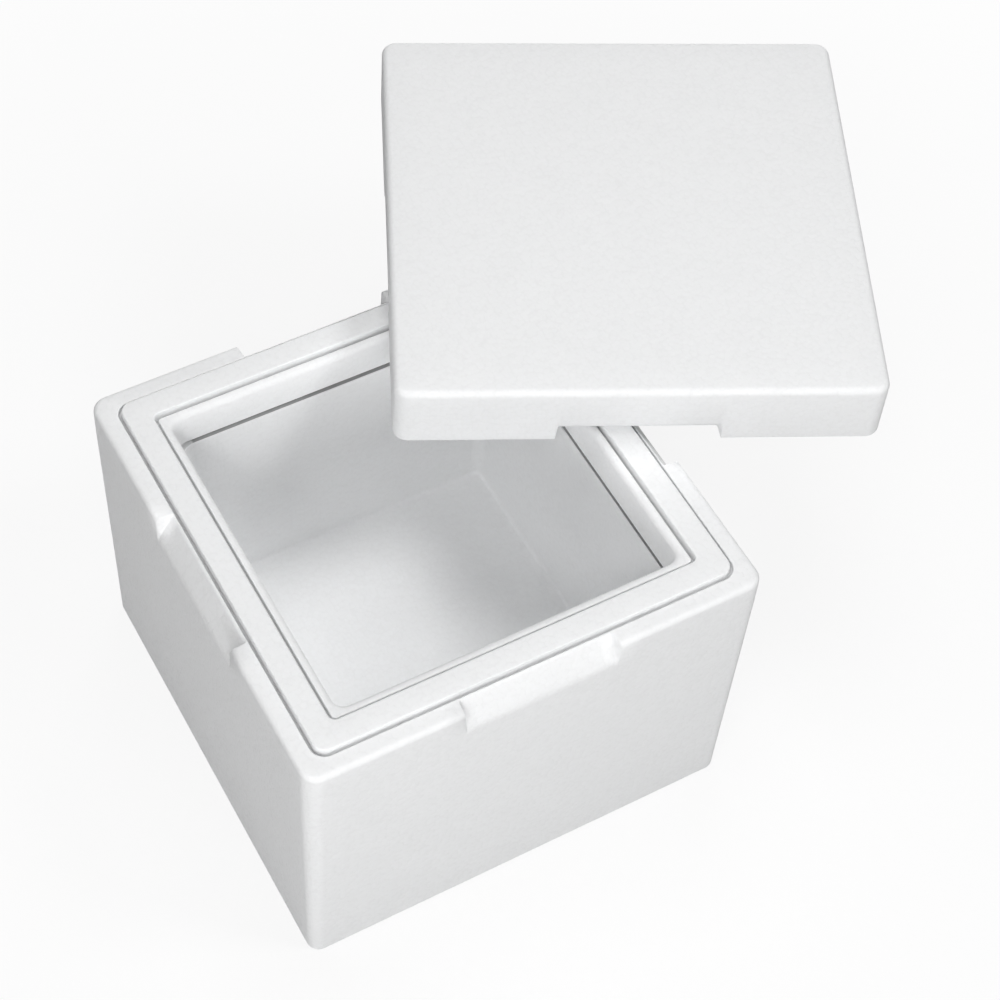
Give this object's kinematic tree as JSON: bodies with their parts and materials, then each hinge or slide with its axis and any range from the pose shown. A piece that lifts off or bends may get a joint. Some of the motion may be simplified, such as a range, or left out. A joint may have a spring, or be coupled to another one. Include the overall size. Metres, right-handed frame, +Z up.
{
  "type": "insulated foam box",
  "caption": "Square thick-walled foam cool box: an open tub with a ribbed rim and finger grips, and its loose lid lying flat and turned over one corner.",
  "frame": {"origin": "centre of the tub's flat underside", "axes": "+Z up, front is -Y, right is +X; the lid lies over the back right corner"},
  "size_m": [0.7277, 0.6032, 0.3542],
  "materials": {
    "foam": "moulded white bead foam with a matt, faintly pebbled skin"
  },
  "bodies": {
    "root": {"tub": "foam", "lid": "foam"}
  },
  "joints": []
}
